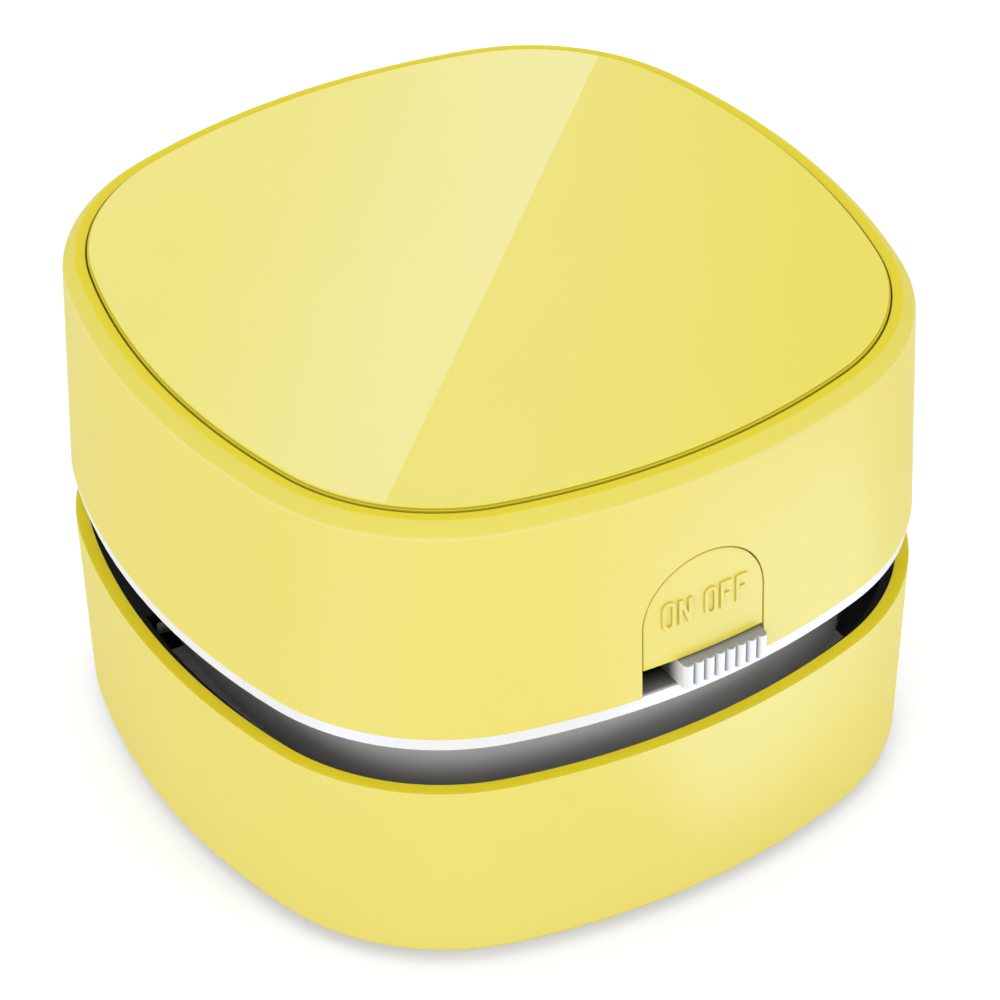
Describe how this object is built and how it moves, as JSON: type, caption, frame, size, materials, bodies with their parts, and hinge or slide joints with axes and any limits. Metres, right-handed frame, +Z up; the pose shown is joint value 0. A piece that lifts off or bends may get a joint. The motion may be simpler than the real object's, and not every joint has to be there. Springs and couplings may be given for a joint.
{
  "type": "desktop mini vacuum cleaner",
  "caption": "Rounded square desk vacuum: a lift-off cover with push tab and slide switch over an air gap, a motor and fan unit, and a dust bin with a bottom brush.",
  "frame": {"origin": "on the desk, under the middle of the body", "axes": "+Z up, the push tab and the slide switch face -Y, +X to the right seen from the switch side"},
  "size_m": [0.085, 0.0862, 0.0589],
  "materials": {
    "shell_yellow": "satin moulded ABS",
    "panel_yellow": "polished",
    "deck_white": "smooth moulded",
    "slider_white": "smooth moulded",
    "neck_dark": "polished dark grey",
    "liner_dark": "polished near black",
    "plate_dark": "fine texture",
    "tray_grey": "fine texture",
    "nylon_brush": "nylon bristles",
    "pad_rubber": "matt",
    "seal_rubber": "matt",
    "screw_steel": "zinc plated",
    "filter_frame": "smooth moulded",
    "filter_mesh": "woven filter cloth",
    "fan_plastic": "smooth moulded",
    "motor_steel": "drawn, zinc plated",
    "motor_plastic": "smooth moulded",
    "shaft_steel": "ground",
    "magnet_ferrite": "sintered",
    "core_steel": "laminated",
    "copper": "enamelled wire",
    "bronze": "sintered",
    "carbon": "pressed carbon",
    "contact_nickel": "nickel plated",
    "cell_jacket": "printed jacket, bare metal end",
    "switch_metal": "tin plated",
    "lead_red": "soft insulation",
    "lead_black": "soft insulation"
  },
  "bodies": {
    "dust_bin": {"lower_shell": "shell_yellow", "bin_liner": "liner_dark", "base_plate": "plate_dark", "brush_carrier": "nylon_brush", "brush_tufts": "nylon_brush", "glide_pads": "pad_rubber", "base_screws": "screw_steel", "neck_gasket": "seal_rubber"},
    "motor_unit": {"deck": "deck_white", "neck_ring": "neck_dark", "fan_base": "neck_dark", "filter_frame": "filter_frame", "filter_mesh": "filter_mesh", "motor_can": "motor_steel", "motor_end_cap": "motor_plastic", "motor_terminals": "bronze", "motor_brushes": "carbon", "motor_bushes": "bronze", "motor_magnets": "magnet_ferrite", "motor_screws": "screw_steel", "battery_tray": "tray_grey", "cell_left": "cell_jacket", "cell_right": "cell_jacket", "contact_plates": "contact_nickel", "link_plate": "contact_nickel", "contact_springs": "contact_nickel", "deck_screws": "screw_steel", "switch_body": "switch_metal", "switch_pins": "bronze", "slot_piece": "neck_dark", "tab_spring": "shaft_steel", "wire_red": "lead_red", "wire_link": "lead_red", "wire_black": "lead_black"},
    "rotor": {"motor_shaft": "shaft_steel", "armature_core": "core_steel", "armature_windings": "copper", "commutator": "copper", "impeller": "fan_plastic"},
    "tab": {"push_tab": "shell_yellow"},
    "switch": {"slider": "slider_white", "switch_lever": "plate_dark"},
    "cover": {"upper_shell": "shell_yellow", "top_panel": "panel_yellow"}
  },
  "joints": [
    {"name": "unit_lift", "type": "slide", "parent": "dust_bin", "child": "motor_unit", "axis": [0, 0, 1], "range_m": [0, 0.035]},
    {"name": "cover_lift", "type": "slide", "parent": "motor_unit", "child": "cover", "axis": [0, 0, 1], "range_m": [0, 0.03]},
    {"name": "tab_press", "type": "slide", "parent": "motor_unit", "child": "tab", "axis": [0, 1, 0], "range_m": [0, 0.0012], "stiffness_N_per_m": 400, "springref_m": -0.001, "deforming": ["tab_spring"]},
    {"name": "switch_slide", "type": "slide", "parent": "motor_unit", "child": "switch", "axis": [-1, 0, 0], "range_m": [0, 0.0037]},
    {"name": "impeller_spin", "type": "hinge", "parent": "motor_unit", "child": "rotor", "pos_m": [0, 0, 0.03], "axis": [0, 0, 1], "continuous": true}
  ]
}
